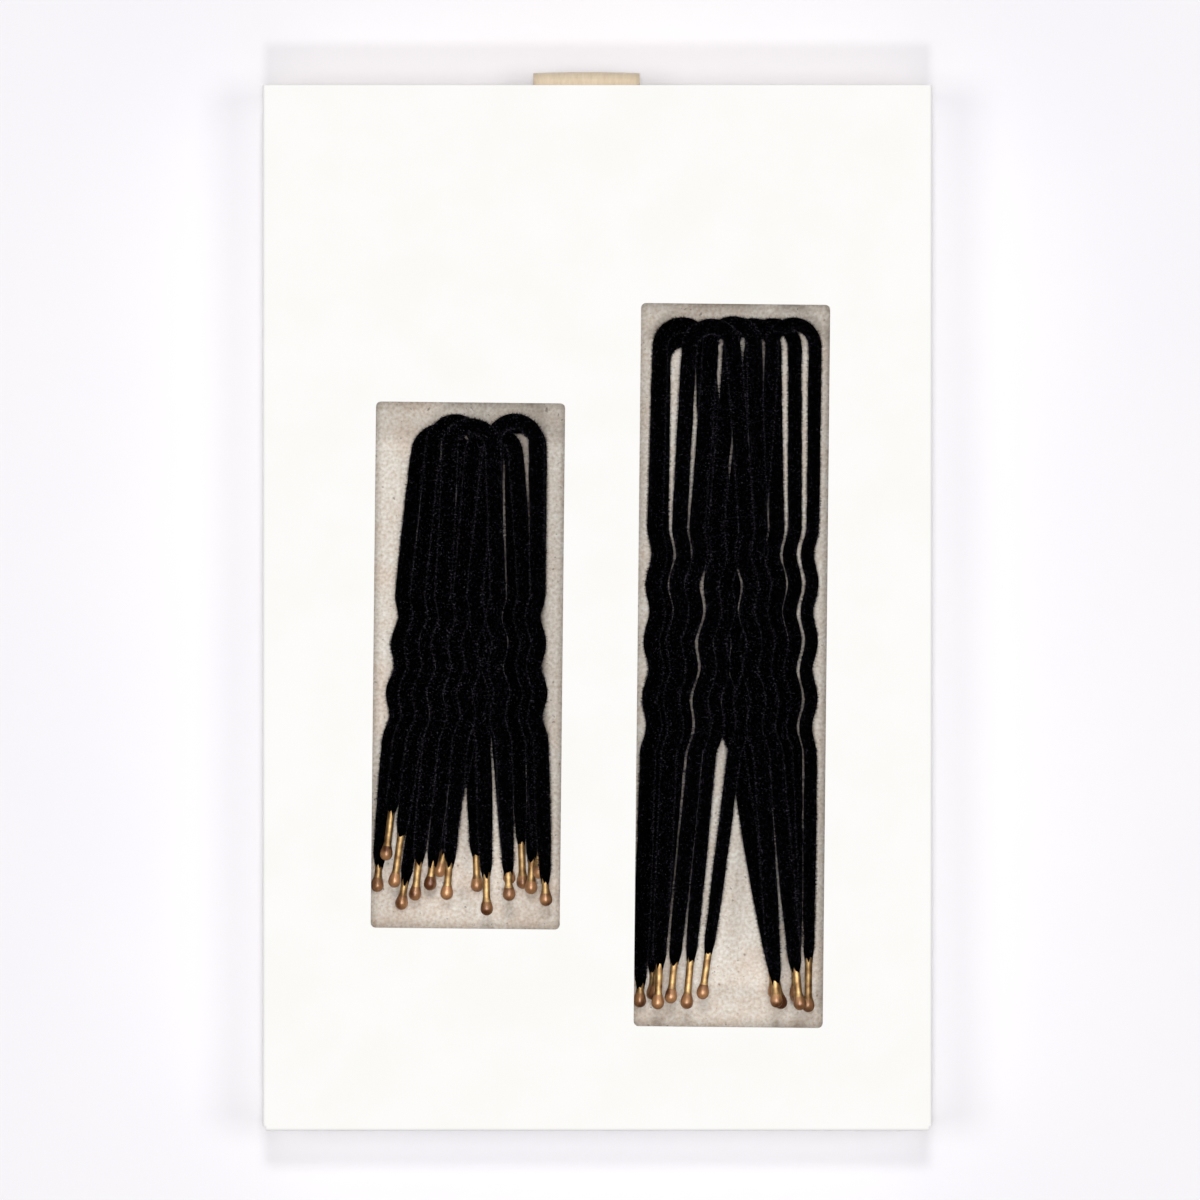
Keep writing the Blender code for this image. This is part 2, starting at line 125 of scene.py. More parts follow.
def in_relief(tree, shader, place, size, depth, strength, detail=4.0):
    """Gives a finish hills about one size across and one depth high: bump(noise(place / size))."""
    hills = add_node(
        tree, "ShaderNodeTexNoise", {"Scale": 1 / size, "Detail": detail}, {"Vector": place}
    )
    bump = add_node(
        tree,
        "ShaderNodeBump",
        {"Strength": strength, "Distance": depth},
        {"Height": hills.outputs["Fac"]},
    )
    tree.links.new(bump.outputs["Normal"], shader.inputs["Normal"])


# %% [markdown]
# ## The finishes
#
# **Coated folding board**, the sleeve's outside, is paper with a smooth chalk coat. It is
# nearly white, with a soft gloss and very faint clouds where the coat varies. Where a knife
# cuts it, the edge shows the duller core of the board. Its inside has no coat, so it is a
# little greyer and rougher.
#
# **Recycled board**, the tray and pad, is pressed from waste paper. It is pale warm grey, matt
# and mottled, with a fine grain and a few short dark flecks in it.

# %% White board
coat, tree, shader, place = new_finish("chalk_coated_board", "#FAF9F7", 0.72)
shades = drifting(tree, place, 7 * MM, "#F9F8F5", "#FBFAF8")
tree.links.new(shades, shader.inputs["Base Color"])
# Fibres under the coat are about 0.3 mm wide and lift it by a few thousandths of a millimetre
in_relief(tree, shader, place, 0.3 * MM, 0.02 * MM, 0.25)

core, tree, shader, place = new_finish("cut_board_edge", "#B5AAA4", 0.9)
plies = add_node(tree, "ShaderNodeMapping", {"Scale": (1.0, 1.0, 12.0)}, {"Vector": place})
shades = drifting(tree, plies.outputs["Vector"], 0.5 * MM, "#A3988F", "#C4BAB2", 0.2)
tree.links.new(shades, shader.inputs["Base Color"])

back, tree, shader, place = new_finish("uncoated_board_back", "#E9E5DF", 0.85)
shades = drifting(tree, place, 0.6 * MM, "#E0DBD4", "#EFECE7", 0.2)
tree.links.new(shades, shader.inputs["Base Color"])
in_relief(tree, shader, place, 0.25 * MM, 0.03 * MM, 0.3)


# %% Recycled board
def recycled_board(name, pulp_shades, layered):
    """Waste-paper board: clouds of pulp, fine grain, dark flecks, and the plies of a thick pad.

    The clouds are multiplied by the grain and the plies. A fleck is where a cell's distance d
    and its own random number r give a small d + 0.5 r, so only some cells have one. The cells,
    0.6 mm wide, are first pulled about by noise, so no two are alike.
    """
    board, tree, shader, place = new_finish(name, pulp_shades[1], 0.92)
    pulp = drifting(tree, place, 2.5 * MM, *pulp_shades, 0.14, 4.0)
    # The fibres in the pulp are about 0.1 mm wide, and are drawn coarser so that they show
    grain = drifting(tree, place, 0.34 * MM, "#D8CEC2", "#FFFFFF", 0.21, 3.0, 0.45)
    layers = [(grain, 1.0)]
    if layered:
        # Scaled down across and kept along the height, the clouds become plies 0.5 mm thick
        plies = add_node(tree, "ShaderNodeMapping", {"Scale": (0.02, 0.02, 1.0)}, {"Vector": place})
        seams = drifting(tree, plies.outputs["Vector"], 0.5 * MM, "#D9CFC5", "#FFFFFF", 0.15, 1.0)
        layers.append((seams, 0.6))
    for layer, weight in layers:
        pulp = add_node(
            tree,
            "ShaderNodeMix",
            {"Factor": weight},
            {"A": pulp, "B": layer},
            data_type="RGBA",
            blend_type="MULTIPLY",
        ).outputs["Result"]
    pull = add_node(tree, "ShaderNodeTexNoise", {"Scale": 1 / (0.5 * MM)}, {"Vector": place})
    pulled = add_node(
        tree,
        "ShaderNodeVectorMath",
        {1: (0.7 * MM,) * 3},
        {0: pull.outputs["Color"], 2: place},
        operation="MULTIPLY_ADD",
    ).outputs[0]
    cells = add_node(tree, "ShaderNodeTexVoronoi", {"Scale": 1 / (0.6 * MM)}, {"Vector": pulled})
    fleck = add_node(
        tree,
        "ShaderNodeMath",
        {1: 0.5},
        {0: cells.outputs["Color"], 2: cells.outputs["Distance"]},
        operation="MULTIPLY_ADD",
    )
    share = add_node(
        tree,
        "ShaderNodeMapRange",
        {"From Min": 0.22, "From Max": 0.34, "To Min": 0.6, "To Max": 0.0},
        {"Value": fleck.outputs[0]},
    )
    shades = add_node(
        tree,
        "ShaderNodeMix",
        {"B": rgba("#6E5A4E")},
        {"Factor": share.outputs["Result"], "A": pulp},
        data_type="RGBA",
    )
    tree.links.new(shades.outputs["Result"], shader.inputs["Base Color"])
    in_relief(tree, shader, place, 0.35 * MM, 0.06 * MM, 0.7, 5.0)
    return board


PULP_SHADES = ("#F8EDE2", "#FFFBF4")
tray_board = recycled_board("recycled_board", PULP_SHADES, layered=False)
pad_board = recycled_board("laminated_recycled_board", PULP_SHADES, layered=True)
print("board finishes:", [m.name for m in (coat, core, back, tray_board, pad_board)])

# %% [markdown]
# ** Flock** is chopped nylon, shot upright into glue by a high voltage. Light goes in between
# the fibres and hardly comes out, so the coat is nearly black and has no mirror shine: its
# specular level is almost nothing. Pile seen edge on turns violet grey, which is sheen. A few
# fibres also get a violet grey painted on, a painted glint for light caught on their sides.
#
# **Brass-coloured wire** is drawn, so it is bright, with slight streaks of tarnish. The ends
# are dipped into **bronze lacquer** that dries as a drop.

# %% Pin finishes
PILE_TINT = rgba("#CEC5DA")
flock, tree, shader, place = new_finish(
    "nylon_flock",
    "#020202",
    0.95,
    Specular_IOR_Level=0.0,
    Sheen_Weight=0.03,
    Sheen_Roughness=0.3,
    Sheen_Tint=PILE_TINT,
)
shades = drifting(tree, place, 0.5 * MM, "#010101", "#040305", 0.2)
tree.links.new(shades, shader.inputs["Base Color"])
in_relief(tree, shader, place, 0.12 * MM, 0.05 * MM, 0.6, 2.0)

# Painted glints: most of the ramp is black, the fibres' own colour, and its violet grey top end,
# which few fibres reach, stands in for light caught on their sides
pile_fibre_with_glints, tree, shader, place = new_finish(
    "nylon_flock_fibre_with_painted_glints", "#141216", 0.8, Specular_IOR_Level=0.02
)
shades = drifting(tree, place, 0.25 * MM, "#020203", "#5A5562", 0.13, 2.0, 0.62)
tree.links.new(shades, shader.inputs["Base Color"])

wire_brass, tree, shader, place = new_finish("drawn_brass_wire", "#BE9A6A", 0.55, Metallic=1.0)
shades = drifting(tree, place, 0.8 * MM, "#866542", "#D2B27E", 0.2)
tree.links.new(shades, shader.inputs["Base Color"])
in_relief(tree, shader, place, 0.2 * MM, 0.01 * MM, 0.3, 2.0)

lacquer, tree, shader, place = new_finish(
    "bronze_dip_lacquer", "#7E4F34", 0.38, Metallic=0.35, Coat_Weight=0.2, Coat_Roughness=0.2
)
shades = drifting(tree, place, 2.2 * MM, "#62391E", "#BC8B60", 0.10)
tree.links.new(shades, shader.inputs["Base Color"])
print("pin finishes:", [m.name for m in (flock, pile_fibre_with_glints, wire_brass, lacquer)])

# %% [markdown]
# ## Meshes from arrays
#
# A tube, a ribbon or a folded board is a function of two parameters: how far along, and how
# far across or round. numpy works out all its points at once. One function below joins a grid
# of points to four-sided faces, and another one puts arrays into a mesh.


# %% Helpers for faces
def grid_faces(rows, columns, wrap):
    """Faces of a grid of points, each from (i, j) to (i + 1, j + 1), round again with wrap."""
    along = np.arange(rows - 1)[:, None]
    across = np.arange(columns if wrap else columns - 1)[None, :]
    beside = (across + 1) % columns
    corners = (
        along * columns + across,
        along * columns + beside,
        (along + 1) * columns + beside,
        (along + 1) * columns + across,
    )
    shape = (rows - 1, across.size)
    return np.stack([np.broadcast_to(corner, shape) for corner in corners], -1).reshape(-1, 4)


def fan_faces(ring_start, columns, pole, outwards):
    """Triangles that close a ring of points to its pole."""
    here = ring_start + np.arange(columns)
    there = ring_start + (np.arange(columns) + 1) % columns
    pair = (there, here) if outwards else (here, there)
    return np.stack([*pair, np.full(columns, pole)], -1)


# %% Arrays into a mesh
def make_piece(name, points, faces, materials, slot_index=None, smooth=True):
    """An object at the origin from arrays of points and of faces with equal corner counts."""
    points = np.asarray(points, float).reshape(-1, 3)
    faces = np.asarray(faces, np.int32)
    mesh = bpy.data.meshes.new(name)
    mesh.vertices.add(len(points))
    mesh.vertices.foreach_set("co", points.ravel())
    mesh.loops.add(faces.size)
    mesh.loops.foreach_set("vertex_index", faces.ravel())
    mesh.polygons.add(len(faces))
    mesh.polygons.foreach_set("loop_start", np.arange(len(faces), dtype=np.int32) * faces.shape[1])
    for material in materials:
        mesh.materials.append(material)
    if slot_index is not None:
        mesh.polygons.foreach_set("material_index", np.asarray(slot_index, np.int32))
    mesh.polygons.foreach_set("use_smooth", np.full(len(faces), smooth))
    mesh.update(calc_edges=True)
    mesh.validate()
    piece = bpy.data.objects.new(name, mesh)
    bpy.context.scene.collection.objects.link(piece)
    return piece


# %% [markdown]
# ## Lines and their lengths
#
# A wire, a crease and a ribbon all follow a line of points. These functions measure how far
# along it each point lies, place new points on it, and give its direction.


# %% Helpers for lines
def unit(vectors):
    """Vectors divided by their lengths."""
    return vectors / np.linalg.norm(vectors, axis=-1, keepdims=True)


def lengths(path):
    """How far along a path each of its points lies."""
    return np.concatenate([[0.0], np.cumsum(np.linalg.norm(np.diff(path, axis=0), axis=1))])


def placed_along(line, wanted):
    """The points of a line at the wanted lengths along it."""
    along = lengths(line)
    return np.column_stack([np.interp(wanted, along, column) for column in line.T])


def even_steps(line, step):
    """The same line in even steps."""
    total = lengths(line)[-1]
    return placed_along(line, np.linspace(0, total, max(2, round(total / step))))


# %% [markdown]
# ## Folding board
#
# The sleeve and the tray start as flat blanks, as in the factory. A point of the blank has a
# place along the section and a place along the run. Folding maps it: the section gives x and
# z, the run gives y and the height of a panel that folds up or down at an end. Each crease is
# a quarter circle of small steps. Windows and the ribbon slit are cut while the blank is flat,
# where a Delaunay triangulation takes any outline, and Solidify gives the board its thickness.
# Plain boxes set edge to edge would be quicker, but they have no round creases, and no cut
# edges that can show the board's core.

# %% Creases
FOLD_STEPS = 6
PANEL_STEP = 2.6 * MM


def creased(corners, radius):
    """A path whose corners P become arcs P + r (sin a - 1) d_in + r (1 - cos a) d_out."""
    corners = np.array(corners, float)
    ways = unit(np.diff(corners, axis=0))
    turn = np.linspace(0, math.pi / 2, FOLD_STEPS + 1)[:, None]
    arcs = [
        corner + radius * (np.sin(turn) - 1) * d_in + radius * (1 - np.cos(turn)) * d_out
        for corner, d_in, d_out in zip(corners[1:-1], ways, ways[1:])
    ]
    return np.vstack([corners[:1], *arcs, corners[-1:]])


def panel(stops, number):
    """Where a flat panel of a creased path starts and ends. The path's first panel is 0."""
    start = number * (FOLD_STEPS + 1)
    return stops[start], stops[start + 1]


def filled_in(stops):
    """The stops of a path and even steps between those that are far apart."""
    steps = [
        np.linspace(a, b, max(1, round((b - a) / PANEL_STEP)) + 1)[:-1]
        for a, b in zip(stops, stops[1:])
    ]
    return np.concatenate([*steps, stops[-1:]])


# %% Holes
HOLE_MARGIN = 0.3 * MM


def outline(centre, width, length, radius, angle):
    """A rounded rectangle: quarter circles at its corners, turned by an angle."""
    quarter = np.linspace(0, math.pi / 2, FOLD_STEPS + 1)
    ring = []
    for number, (across, along) in enumerate(((1, 1), (-1, 1), (-1, -1), (1, -1))):
        turn = quarter + number * math.pi / 2
        corner = np.array([across * (width / 2 - radius), along * (length / 2 - radius)])
        ring.append(corner + radius * np.column_stack([np.cos(turn), np.sin(turn)]))
    ring = np.vstack(ring)
    turned = np.array([[math.cos(angle), math.sin(angle)], [-math.sin(angle), math.cos(angle)]])
    return ring @ turned + centre


def beyond(points, hole):
    """How far points lie outside a turned rectangle, negative inside it."""
    centre, width, length, _, angle = hole
    turned = np.array([[math.cos(angle), -math.sin(angle)], [math.sin(angle), math.cos(angle)]])
    local = np.abs((points - centre) @ turned) - np.array([width / 2, length / 2])
    return local.max(axis=1)


# %% The flat blank
SMALLEST_FACE = (0.001 * MM) ** 2
SAME_POINT = 1e-9


def cut_blank(s_places, t_places, wide, side, holes):
    """The triangles of a flat blank with its holes, by Delaunay's rule.

    Where t is outside the side panels' stretch, only the s of the wide panel is board.
    """
    across, along = np.meshgrid(s_places, t_places)
    flat = np.column_stack([across.ravel(), along.ravel()])
    for hole in holes:
        flat = flat[beyond(flat, hole) > HOLE_MARGIN]
    edges, start = [], len(flat)
    for hole in holes:
        ring = outline(*hole)
        flat = np.vstack([flat, ring])
        here = start + np.arange(len(ring))
        edges += np.column_stack([here, np.roll(here, -1)]).tolist()
        start += len(ring)
    points, _, faces, *_ = delaunay_2d_cdt(flat.tolist(), edges, [], 0, SAME_POINT)
    flat, faces = np.array(points), np.array(faces)
    middle = flat[faces].mean(axis=1)
    in_side = (middle[:, 1] > side[0]) & (middle[:, 1] < side[1])
    in_wide = (middle[:, 0] > wide[0]) & (middle[:, 0] < wide[1])
    keep = in_side | in_wide
    for hole in holes:
        keep &= beyond(middle, hole) > 0
    corner = flat[faces]
    sides = corner[:, 1:] - corner[:, :1]
    area = np.abs(sides[:, 0, 0] * sides[:, 1, 1] - sides[:, 0, 1] * sides[:, 1, 0])
    keep &= area > SMALLEST_FACE
    used, faces = np.unique(faces[keep], return_inverse=True)
    return flat[used], faces.reshape(-1, 3)


# %% The folding function
CUT_ROUNDING = 0.07 * MM
CUT_ANGLE = math.radians(50)


def folded_board(name, section, run, wide, side, holes, board, finishes, crown=0.0, flip=False):
    """A blank folded to (X(s), Y(t), Z(s) + H(t)), with holes cut in it while it is flat.

    s runs along the section (x, z) and t along the run (y, height). The wide panel of the
    sleeve may be crowned: its middle stands higher by crown (1 - u u) (1 - v v).
    """
    s_stops, t_stops = lengths(section), lengths(run)
    t_places = filled_in(np.unique(np.concatenate([t_stops, side])))
    flat, faces = cut_blank(filled_in(s_stops), t_places, wide, side, holes)
    s, t = flat.T
    solid = np.column_stack(
        [
            np.interp(s, s_stops, section[:, 0]),
            np.interp(t, t_stops, run[:, 0]),
            np.interp(s, s_stops, section[:, 1]) + np.interp(t, t_stops, run[:, 1]),
        ]
    )
    if crown:
        u = (s - (wide[0] + wide[1]) / 2) / ((wide[1] - wide[0]) / 2)
        v = (t - (side[0] + side[1]) / 2) / ((side[1] - side[0]) / 2)
        solid[:, 2] += crown * np.clip(1 - u * u, 0, 1) * np.clip(1 - v * v, 0, 1)
    piece = make_piece(name, solid, faces[:, ::-1] if flip else faces, finishes, smooth=False)
    thick = piece.modifiers.new("board_thickness", "SOLIDIFY")
    thick.thickness = board
    thick.offset = 0.0
    thick.use_even_offset = True
    thick.material_offset = 2
    thick.material_offset_rim = 1
    # A knife leaves the cut slightly rounded, and the core shows there as a thin dull line
    worn = piece.modifiers.new("cut_edge_rounding", "BEVEL")
    worn.width = CUT_ROUNDING
    worn.segments = 2
    worn.limit_method = "ANGLE"
    worn.angle_limit = CUT_ANGLE
    worn.material = 1
    print(name, len(faces), "triangles in its flat blank")
    return piece


# %% [markdown]
# ## The sleeve
#
# The sleeve wraps round the tray. It starts at the left wall's lower edge, goes over the top,
# down the right wall, under the bottom, and ends as a glue flap inside the left wall. At the
# back the top panel folds down over the end. The top bows up a little, as loose board does.

# %% Fold the sleeve
BOARD = 0.45 * MM
CREASE = 0.13 * MM
GAP = 0.02 * MM
CROWN = 0.10 * MM
WINDOW_WIDTH = 18.9 * MM
WINDOW_Y = -5.75 * MM
WINDOW_SKEW = math.radians(0.6)
WINDOW_CORNER = 0.5 * MM
# Each window's middle across the box, and its length
WINDOWS = ((-12.95 * MM, 52.6 * MM), (13.45 * MM, 72.3 * MM))

low, high = (np.array(corner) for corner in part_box("sleeve"))
half = BOARD / 2
section = creased(
    [
        (low[0] + half, low[2] + GAP),
        (low[0] + half, high[2] - half),
        (high[0] - half, high[2] - half),
        (high[0] - half, low[2] + half),
        (low[0] + half + BOARD, low[2] + half),
        (low[0] + half + BOARD, high[2] - 3 * BOARD),
    ],
    CREASE,
)
run = creased(
    [(high[1], 0.0), (low[1] + half, 0.0), (low[1] + half, low[2] + BOARD - high[2])], CREASE
)
top = panel(lengths(section), 1)
side_end = high[1] - (low[1] + BOARD + GAP)
# A place x across the top panel lies at s = x + across_top in the flat blank
across_top = top[0] - section[FOLD_STEPS + 1, 0]
holes = [
    (
        np.array([x + across_top, high[1] - WINDOW_Y]),
        WINDOW_WIDTH,
        length,
        WINDOW_CORNER,
        WINDOW_SKEW,
    )
    for x, length in WINDOWS
]
sleeve = folded_board(
    "folded_sleeve",
    section,
    run,
    top,
    np.array([0.0, side_end]),
    holes,
    BOARD - GAP,
    [coat, core, back],
    crown=CROWN,
    flip=True,
)
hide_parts("sleeve")
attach(sleeve, "box")

# %% [markdown]
# ## The tray
#
# The tray's end walls are folded up, rolled over and tucked down inside, so they are two
# boards thick. The side walls are one board. The slit goes through both layers of the front.

# %% The tray's section and run
TRAY_BOARD = 0.60 * MM
low, high = (np.array(corner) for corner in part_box("tray"))
half = TRAY_BOARD / 2
floor_z = low[2] + half
rise = high[2] - half - floor_z
section = creased(
    [
        (low[0] + half, high[2]),
        (low[0] + half, floor_z),
        (high[0] - half, floor_z),
        (high[0] - half, high[2]),
    ],
    CREASE,
)
front, rear = high[1] - half, low[1] + half
run = creased(
    [
        (front - TRAY_BOARD, half + GAP),
        (front - TRAY_BOARD, rise),
        (front, rise),
        (front, 0.0),
        (rear, 0.0),
        (rear, rise),
        (rear + TRAY_BOARD, rise),
        (rear + TRAY_BOARD, half + GAP),
    ],
    half - GAP,
)
# A place x across the floor lies at s = x + across_floor in the flat blank
floor_panel = panel(lengths(section), 1)
floor_start, floor_end = panel(lengths(run), 3)
across_floor = floor_panel[0] - section[FOLD_STEPS + 1, 0]

# %% The slit for the ribbon
RIBBON_LAYER = 0.35 * MM
RIBBON_X = -1.1 * MM
RIBBON_WIDTH = 10.7 * MM
SLIT_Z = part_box("ribbon_anchor")[1][2] - RIBBON_LAYER
SLIT_PLAY = 0.6 * MM
SLIT_WIDTH = RIBBON_WIDTH + SLIT_PLAY
SLIT_HEIGHT = 1.3 * MM
SLIT_CORNER = 0.2 * MM
# Up the tucked inner layer to the slit, and back from the floor over the crease to the outer one
inner_t = SLIT_Z - floor_z - run[0, 1]
outer_t = floor_start - (half - GAP) * math.pi / 2 - (SLIT_Z - floor_z - (half - GAP))
slits = [
    (np.array([RIBBON_X + across_floor, t]), SLIT_WIDTH, SLIT_HEIGHT, SLIT_CORNER, 0.0)
    for t in (inner_t, outer_t)
]

# %% Fold the tray
tray = folded_board(
    "folded_tray",
    section,
    run,
    floor_panel,
    np.array([floor_start - half, floor_end + half]),
    slits,
    TRAY_BOARD - GAP,
    [tray_board, tray_board, tray_board],
)
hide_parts("tray")
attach(tray, "drawer")

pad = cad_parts["well_pad"]
pad.data.materials.clear()
pad.data.materials.append(pad_board)

# %% [markdown]
# ## The hairpins
#
# One pin is one line in a slightly tilted plane. From the left tip the leg goes up, leans
# inwards with a power of its way, and waves in and out where it was crimped. The arch is half
# a circle, and the right leg mirrors the left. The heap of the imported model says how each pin
# lies: a plane is fitted to its wire there. The table says where its arch and its tips are.

# %% Tables of the pins
PIN_LENGTHS = {"long": 70.2 * MM, "short": 50.5 * MM}
PLAIN_TOP = {"long": 21.1 * MM, "short": 18.0 * MM}
PLAIN_FOOT = {"long": 25.9 * MM, "short": 17.5 * MM}
CRIMPS = {"long": 4, "short": 3}
CRIMP_DEPTH = 0.55 * MM
ARCH_RADIUS = 2.2 * MM
WIRE_RADIUS = 0.375 * MM
FLOCK_RADIUS = 0.725 * MM
BALL_RADIUS = 0.65 * MM
BARE_WIRE = 3.0 * MM
LEG_POINTS = 400
ARCH_POINTS = 60
HEAP_X = {"short": WINDOWS[0][0], "long": WINDOWS[1][0]}

# Across the window's width: arch, left tip, right tip. Down the pin's length: arch, left tip
# and right tip. Of the bare wire: left leg, right leg. Then the powers of its way down with
# which the left and the right leg flare, and the coat's thickness as a share of FLOCK_RADIUS.
# The lowest pin of each heap comes first.
PINS = {
    "long": (
        (-0.245, -0.415, 0.235, 0.020, 0.016, 0.018, 0.80, 1.15, 1.25, 0.90, 1.07),
        (-0.260, -0.485, 0.270, 0.000, 0.006, 0.004, 0.55, 1.00, 1.05, 1.75, 1.07),
        (0.230, -0.235, 0.355, 0.000, 0.006, 0.012, 1.45, 1.50, 0.90, 1.95, 0.94),
        (0.115, -0.320, 0.350, 0.002, 0.014, 0.018, 1.20, 0.90, 1.10, 1.50, 1.07),
        (0.335, -0.150, 0.415, 0.000, 0.020, 0.000, 1.40, 1.60, 1.30, 0.90, 0.91),
        (0.010, -0.405, 0.365, 0.000, 0.016, 0.006, 0.85, 1.15, 1.10, 1.65, 1.07),
        (-0.105, -0.390, 0.240, 0.004, 0.006, 0.010, 1.25, 0.70, 0.90, 0.90, 1.07),
    ),
    "short": (
        (-0.155, -0.495, 0.040, 0.018, 0.044, 0.044, 0.75, 1.05, 0.85, 0.85, 1.07),
        (0.110, -0.365, 0.285, 0.044, 0.008, 0.050, 0.80, 1.35, 1.05, 1.30, 0.97),
        (0.260, -0.160, 0.330, 0.008, 0.074, 0.040, 0.70, 0.95, 1.85, 1.55, 1.01),
        (-0.075, -0.445, 0.095, 0.000, 0.108, 0.000, 1.45, 1.20, 1.10, 0.85, 1.07),
        (-0.015, -0.400, 0.215, 0.060, 0.054, 0.062, 1.55, 0.70, 1.15, 1.55, 0.99),
        (0.135, -0.210, 0.375, 0.024, 0.048, 0.072, 0.75, 0.60, 1.15, 0.85, 1.04),
        (0.245, -0.120, 0.410, 0.000, 0.030, 0.018, 1.05, 0.70, 0.85, 1.65, 1.05),
        (0.015, -0.290, 0.215, 0.010, 0.028, 0.030, 1.15, 0.80, 1.45, 1.00, 1.07),
    ),
}


# %% The plan of a pin
def leg_line(side, foot, tip, crimp_top, crimp_foot, crimps, flare):
    """A leg from foot to tip: x = foot + (tip - foot) w ** flare - side d (1 - cos 2 pi q) / 2.

    w is the share of the way down, and q counts the crimps from the first one's start.
    """
    y = np.linspace(foot[1], tip[1], LEG_POINTS)
    w = (foot[1] - y) / (foot[1] - tip[1])
    q = np.clip((crimp_top - y) / (crimp_top - crimp_foot), 0, 1) * crimps
    x = foot[0] + (tip[0] - foot[0]) * w**flare
    x -= side * CRIMP_DEPTH * (1 - np.cos(2 * math.pi * q)) / 2
    return np.column_stack([x, y])


def pin_line(kind, row):
    """A pin's plan from its left ball's pole to its right one's, and its coat's two ends."""
    arch, left, right, drop, left_rise, right_rise, left_bare, right_bare, *flares, _ = row
    length = PIN_LENGTHS[kind]
    top, bottom = WINDOW_Y + length / 2, WINDOW_Y - length / 2
    centre = np.array([HEAP_X[kind] + arch * WINDOW_WIDTH, top - drop * length])
    centre[1] -= FLOCK_RADIUS + ARCH_RADIUS
    legs, ends = [], []
    sides = ((-1, left, left_rise), (1, right, right_rise))
    for (side, across, rise), flare in zip(sides, flares):
        tip = np.array([HEAP_X[kind] + across * WINDOW_WIDTH, bottom + rise * length + BALL_RADIUS])
        foot = centre + np.array([side * ARCH_RADIUS, 0.0])
        crimped = (top - PLAIN_TOP[kind], bottom + PLAIN_FOOT[kind], CRIMPS[kind], flare)
        leg = leg_line(side, foot, tip, *crimped)
        pole = tip + BALL_RADIUS * unit(leg[-1] - leg[-2])
        legs.append(np.vstack([leg, pole]))
        ends.append(tip[1])
    turn = np.linspace(math.pi, 0, ARCH_POINTS)[1:-1]
    bow = centre + ARCH_RADIUS * np.column_stack([np.cos(turn), np.sin(turn)])
    line = np.vstack([legs[0][::-1], bow, legs[1]])
    bare = (ends[0] + left_bare * BARE_WIRE, ends[1] + right_bare * BARE_WIRE)
    return line, bare


def laid_on(line, node):
    """The plan raised onto the plane z = a + b x + c y that fits a node's points best."""
    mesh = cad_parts[node].data
    points = np.empty(len(mesh.vertices) * 3)
    mesh.vertices.foreach_get("co", points)
    x, y, z = points.reshape(-1, 3).T
    a, b, c = np.linalg.lstsq(np.column_stack([np.ones(len(x)), x, y]), z, rcond=None)[0]
    heights = a + b * line[:, 0] + c * line[:, 1]
    return np.column_stack([line, heights]), unit(np.array([-b, -c, 1.0]))


# %% Tubes round a line
def rings(line, up, radii, sides):
    """Circles round a line: p + r (cos a (t x up) + sin a up), t being the line's direction."""
    way = unit(np.gradient(line, axis=0))
    beside = unit(np.cross(way, up))[:, None]
    over = np.cross(beside, way[:, None])
    turn = (np.arange(sides) / sides * 2 * math.pi)[None, :, None]
    out = np.cos(turn) * beside + np.sin(turn) * over
    return line[:, None] + radii[:, None, None] * out, out, way


def closed_tube(name, points, line, materials, slot_index=None):
    """A tube from rings of points, with a pole at each end."""
    rows, sides = points.shape[:2]
    flat = np.vstack([points.reshape(-1, 3), line[:1], line[-1:]])
    quads = grid_faces(rows, sides, True)
    split = np.vstack([quads[:, (0, 1, 2)], quads[:, (0, 2, 3)]])
    caps = [
        fan_faces(0, sides, rows * sides, True),
        fan_faces((rows - 1) * sides, sides, rows * sides + 1, False),
    ]
    faces = np.vstack([split, *caps])
    if slot_index is not None:
        walls = np.repeat(slot_index[:-1], sides)
        ends = np.repeat([slot_index[0], slot_index[-1]], sides)
        slot_index = np.concatenate([walls, walls, ends])
    return make_piece(name, flat, faces, materials, slot_index)


# %% [markdown]
# ## Wire with dipped ends
#
# The wire's radius is constant. At each end the lacquer hangs as a drop: its radius follows a
# circle up to the ball's middle, then eases back to the wire's over a neck twice as long. A
# curve object with a bevel could draw a wire too. Rings of points are used because the coat
# needs them as well: its radius changes on the way, and its surface is lumpy.

# %% A wire
NECK = 1.25 * MM
# The lacquer reaches up the neck to 0.6 of its length
DIPPED = BALL_RADIUS + 0.6 * NECK
WIRE_STEP = 0.45 * MM
WIRE_SIDES = 12
BALL_RINGS = 8
NECK_RINGS = 10


def wire_radii(along):
    """Radius by way from a pole: a circle up to the ball's middle, then a cosine's half wave."""
    ball = np.sqrt(np.clip(1 - ((along - BALL_RADIUS) / BALL_RADIUS) ** 2, 0, None)) * BALL_RADIUS
    eased = np.clip((along - BALL_RADIUS) / NECK, 0, 1)
    neck = WIRE_RADIUS + (BALL_RADIUS - WIRE_RADIUS) * (1 + np.cos(math.pi * eased)) / 2
    return np.where(along < BALL_RADIUS, ball, neck)


def make_wire(name, node, line, up, body):
    """One wire with its two lacquered ends."""
    total = lengths(line)[-1]
    drop = BALL_RADIUS + NECK
    ball = BALL_RADIUS * (1 - np.cos(np.linspace(0, math.pi / 2, BALL_RINGS)))[1:]
    start = np.concatenate([ball, np.linspace(BALL_RADIUS, drop, NECK_RINGS)[1:]])
    middle = np.linspace(drop, total - drop, max(2, round((total - 2 * drop) / WIRE_STEP)))
    wanted = np.concatenate([start, middle[1:-1], (total - start)[::-1]])
    places = placed_along(line, wanted)
    from_end = np.minimum(wanted, total - wanted)
    points, _, _ = rings(places, up, wire_radii(from_end), WIRE_SIDES)
    dipped = (from_end < DIPPED).astype(int)
    piece = closed_tube(name, points, line, [wire_brass, lacquer], dipped)
    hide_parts(node)
    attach(piece, body)


